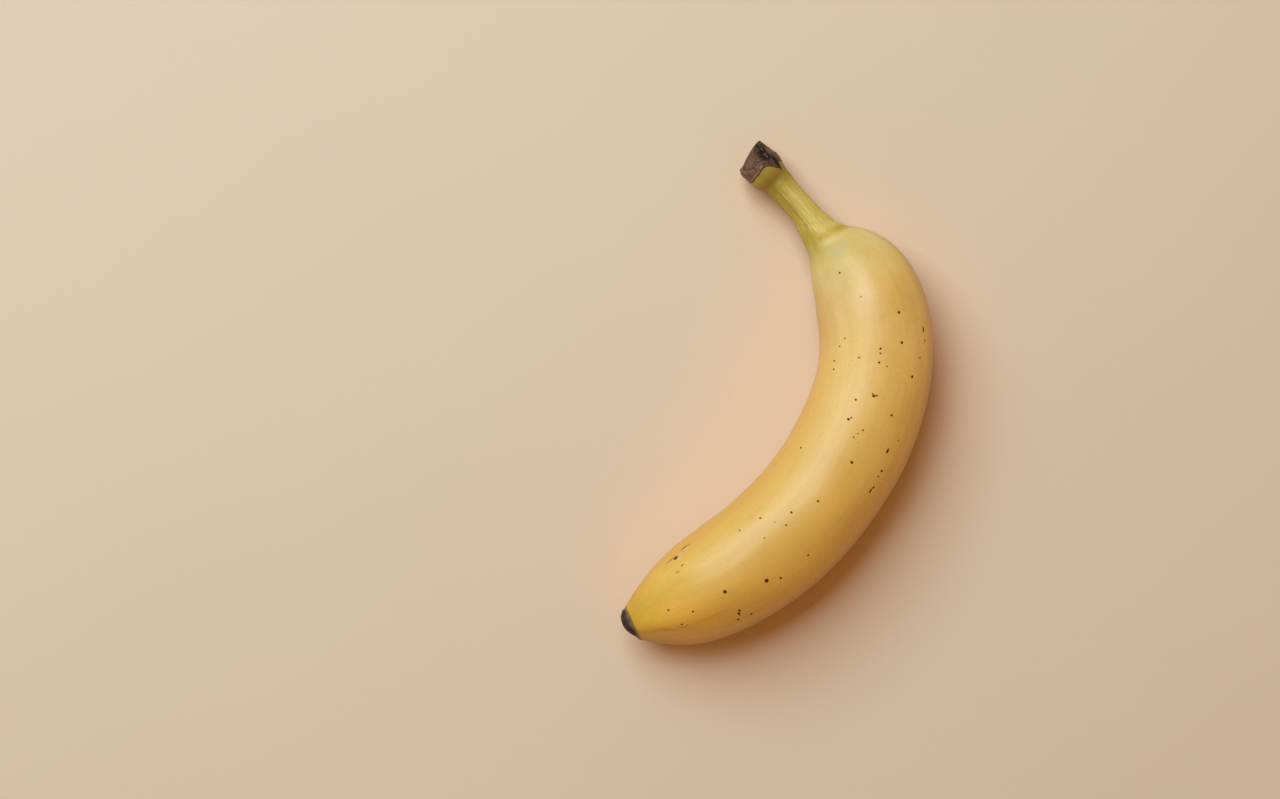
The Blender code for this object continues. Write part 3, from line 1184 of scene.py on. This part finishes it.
@dataclass(frozen=True)
class TableFinish:
    """A matt painted table top, with a painted warm glow of light bounced off the fruit beside it."""

    name: str = "table_paint"
    colour: Colour = (0.70, 0.56, 0.42)
    glow_colour: Colour = (0.775, 0.57, 0.385)  # painted glow of warm light bounced off the fruit beside it
    glow_reach: float = 0.05  # metres
    glow_share: Span = (0.98, 0.72)  # how open the sky is where the painted glow starts and where it is full
    roughness: float = 0.85

    def build(self) -> bpy.types.Material:
        """Builds the material."""
        material, bench, shader = new_material(self.name)
        place = bench.add("ShaderNodeTexCoord").outputs["Object"]
        cloud = bench.noise(place, 9.0, 4.0)
        grain = bench.noise(place, 900.0)
        shade = bench.plus(bench.times(cloud, 0.04), bench.times(grain, 0.02), 0.97)
        open_sky = bench.add("ShaderNodeAmbientOcclusion", samples=16)
        open_sky.inputs["Distance"].default_value = self.glow_reach
        # painted warm glow of bounced light where the fruit hides the sky
        near = bench.ramp(open_sky.outputs["AO"], *self.glow_share)
        tint = bench.mix(near, self.colour, self.glow_colour)
        bench.feed(shader.inputs["Base Color"], bench.shaded(tint, shade))
        rough = bench.ramp(grain, 0.0, 1.0, self.roughness - 0.05, self.roughness)
        bench.feed(shader.inputs["Roughness"], rough)
        return material


# ---- Pieces ----


@dataclass
class Banana:
    """The fruit, from its turned blank to its finished skin."""

    name: str = "banana_fruit"
    line: CentreLine = CentreLine()
    section: Section = Section()
    blank: Blank = Blank()
    crown: Crown = Crown()
    neck: Neck = Neck()
    tip: BlossomEnd = BlossomEnd()
    lumps: Lumps = Lumps()
    finish: PeelFinish = PeelFinish()
    seed: int = 7
    body: bpy.types.Object | None = field(default=None, init=False)

    def sculpt(self, skin: Skin) -> None:
        """Shapes every part of the straight fruit."""
        draw = np.random.default_rng(self.seed)
        self.crown.tear(skin)
        self.section.shape(skin)
        self.lumps.raise_on(skin, draw)
        self.crown.swell(skin)
        self.neck.crease(skin)
        self.neck.fibres(skin, draw)
        self.tip.shape(skin)
        self.crown.scar(skin, self.blank.scar_run)
        self.tip.face(skin, self.blank.face_run)

    def store(self, skin: Skin) -> None:
        """Keeps what the finish reads: the place on the straight fruit, the run and the hollows."""
        mesh = self.body.data
        straight = np.column_stack((skin.along, skin.across, skin.up)) * MM
        mesh.attributes.new("straight", "FLOAT_VECTOR", "POINT").data.foreach_set("vector", straight.ravel())
        for name, values in (("run", skin.run), ("hollow", skin.hollow)):
            mesh.attributes.new(name, "FLOAT", "POINT").data.foreach_set("value", values)

    def unwrap(self, skin: Skin) -> None:
        """Lays the skin out as one sheet, cut along the underside, for baked textures."""
        mesh = self.body.data
        corners = np.empty(len(mesh.loops), np.int32)
        mesh.loops.foreach_get("vertex_index", corners)
        low, high = skin.run.min(), skin.run.max()
        lengthwise = (skin.run[corners] - low) / (high - low)
        around = (turned(skin.angle[corners], 0) + 180) / 360
        faces = around.reshape(-1, 4)
        crossing = (faces.max(axis=1) - faces.min(axis=1) > 0.5)[:, None] & (faces < 0.5)
        around = np.where(crossing, faces + 1, faces).ravel()
        around = around * self.blank.sides / (self.blank.sides + 1)
        layer = mesh.uv_layers.new(name="OFBake")
        layer.data.foreach_set("uv", np.column_stack((lengthwise, around)).ravel())

    def make(self) -> None:
        """Builds the fruit and hands it to the frame."""
        length = self.line.length
        self.body = self.blank.turn(self.name, length)
        skin = self.blank.read(self.body, length)
        self.sculpt(skin)
        points = self.line.bend(skin, self.section.height_share)
        self.store(skin)
        self.unwrap(skin)
        self.body.data.vertices.foreach_set("co", points.ravel())
        self.body.data.update()
        self.body.data.materials.append(self.finish.build())
        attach(self.body, "root")
        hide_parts(NODE)
        log.info("%s: %d faces", self.name, len(self.body.data.polygons))


@dataclass(frozen=True)
class Studio:
    """The table, the soft window light, the fill and the camera straight above."""

    table_size: float = 8.0  # metres
    look_at: tuple[float, float] = (7.2, -48.7)
    view_width: float = 396.8
    lens: float = 70.0
    sensor: float = 36.0
    silhouette_height: float = 16.5
    roll: float = 105.6
    light_from: float = 233.0  # compass angle of the light, from +X towards +Y
    light_rise: float = 52.0
    light_distance: float = 1.5  # metres
    light_size: float = 1.2  # metres
    light_power: float = 27.8
    light_colour: Colour = (0.70, 0.88, 1.0)
    fill_colour: Colour = (1.0, 0.50, 0.17)
    fill_strength: float = 0.37
    backdrop_colour: Colour = (0.66, 0.54, 0.41)

    def lay_table(self) -> None:
        """Adds the table top, just under the fruit."""
        bpy.ops.object.select_all(action="DESELECT")
        bpy.ops.mesh.primitive_plane_add(size=self.table_size, location=(0, 0, 0))
        table = bpy.context.active_object
        table.name = "table_top"
        table.data.materials.append(TableFinish().build())
        log.info("table_top: %.1f m wide", self.table_size)

    def hang_light(self) -> None:
        """Adds one large soft light and an even fill."""
        lamp = bpy.data.lights.new("window", "AREA")
        lamp.shape = "SQUARE"
        lamp.size = self.light_size
        lamp.energy = self.light_power
        lamp.color = self.light_colour
        window = bpy.data.objects.new("window", lamp)
        bpy.context.scene.collection.objects.link(window)
        rise, turn = math.radians(self.light_rise), math.radians(self.light_from)
        window.location = [
            self.light_distance * math.cos(rise) * math.cos(turn),
            self.light_distance * math.cos(rise) * math.sin(turn),
            self.light_distance * math.sin(rise),
        ]
        window.rotation_euler = (0, math.pi / 2 - rise, turn)
        world = bpy.data.worlds.new("studio")
        world.use_nodes = True
        bench = Bench(world.node_tree)
        fill = bench.wire("ShaderNodeBackground", (self.fill_colour, self.fill_strength))
        backdrop = bench.wire("ShaderNodeBackground", (self.backdrop_colour,))
        by_camera = bench.add("ShaderNodeLightPath").outputs["Is Camera Ray"]
        seen = bench.wire("ShaderNodeMixShader", (by_camera, fill, backdrop))
        bench.feed(world.node_tree.nodes["World Output"].inputs[0], seen)
        bpy.context.scene.world = world

    def set_camera(self) -> None:
        """Adds the camera, looking straight down."""
        data = bpy.data.cameras.new("camera")
        data.lens = self.lens
        data.sensor_width = self.sensor
        camera = bpy.data.objects.new("camera", data)
        bpy.context.scene.collection.objects.link(camera)
        distance = self.view_width * self.lens / self.sensor
        x, y = self.look_at
        camera.location = (x * MM, y * MM, (distance + self.silhouette_height) * MM)
        camera.rotation_euler = (0, 0, math.radians(self.roll))
        bpy.context.scene.camera = camera

    def set_up(self) -> None:
        """Adds everything round the fruit."""
        self.lay_table()
        self.hang_light()
        self.set_camera()
        bpy.context.scene.view_settings.view_transform = "Standard"


def main() -> None:
    """Builds the fruit and the studio, and reports each."""
    logging.basicConfig(level=logging.INFO, format="%(name)s: %(message)s")
    Banana().make()
    Studio().set_up()


if __name__ == "__main__":
    main()
